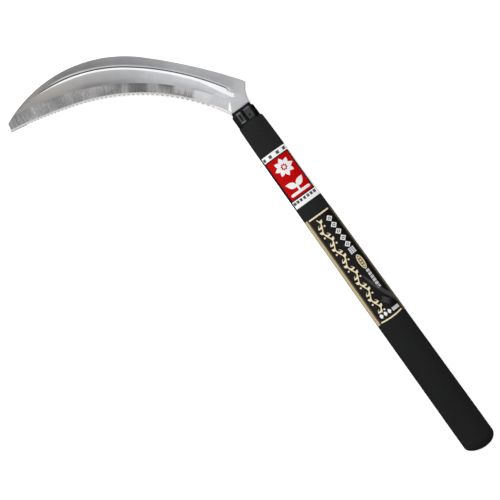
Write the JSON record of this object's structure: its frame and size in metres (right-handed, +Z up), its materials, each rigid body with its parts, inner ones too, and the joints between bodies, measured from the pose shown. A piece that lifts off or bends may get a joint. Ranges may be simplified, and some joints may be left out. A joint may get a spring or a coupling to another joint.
{
  "type": "hand sickle",
  "caption": "Hand sickle with a curved saw-toothed steel blade, a moulded neck collar and a long oval handle in a soft black grip.",
  "frame": {"origin": "centre of the bounding box on the plane that the sickle lies on", "axes": "+Y runs along the handle towards the blade, the blade's tip points to -X, and +Z is up, away from the plane that the handle and the tip rest on"},
  "size_m": [0.1641, 0.412, 0.0195],
  "materials": {
    "blade_steel": "satin stainless sheet with a ground bevel, a fine bright edge and a pressed groove",
    "collar_plastic": "black moulded plastic, satin gloss",
    "insert_plastic": "dark grey moulded plastic, satin",
    "tube_aluminium": "drawn oval tube, mill finish",
    "pin_steel": "plain ground pin",
    "plug_plastic": "black moulded plastic, matt",
    "grip_rubber": "black elastomer with a fine moulded texture",
    "upper_label_film": null,
    "lower_label_film": null
  },
  "bodies": {
    "root": {"blade": "blade_steel", "neck_collar": "collar_plastic", "locking_insert": "insert_plastic", "core_tube": "tube_aluminium", "front_pin": "pin_steel", "rear_pin": "pin_steel", "butt_plug": "plug_plastic", "grip_sleeve": "grip_rubber", "upper_label": "upper_label_film", "lower_label": "lower_label_film"}
  },
  "joints": []
}
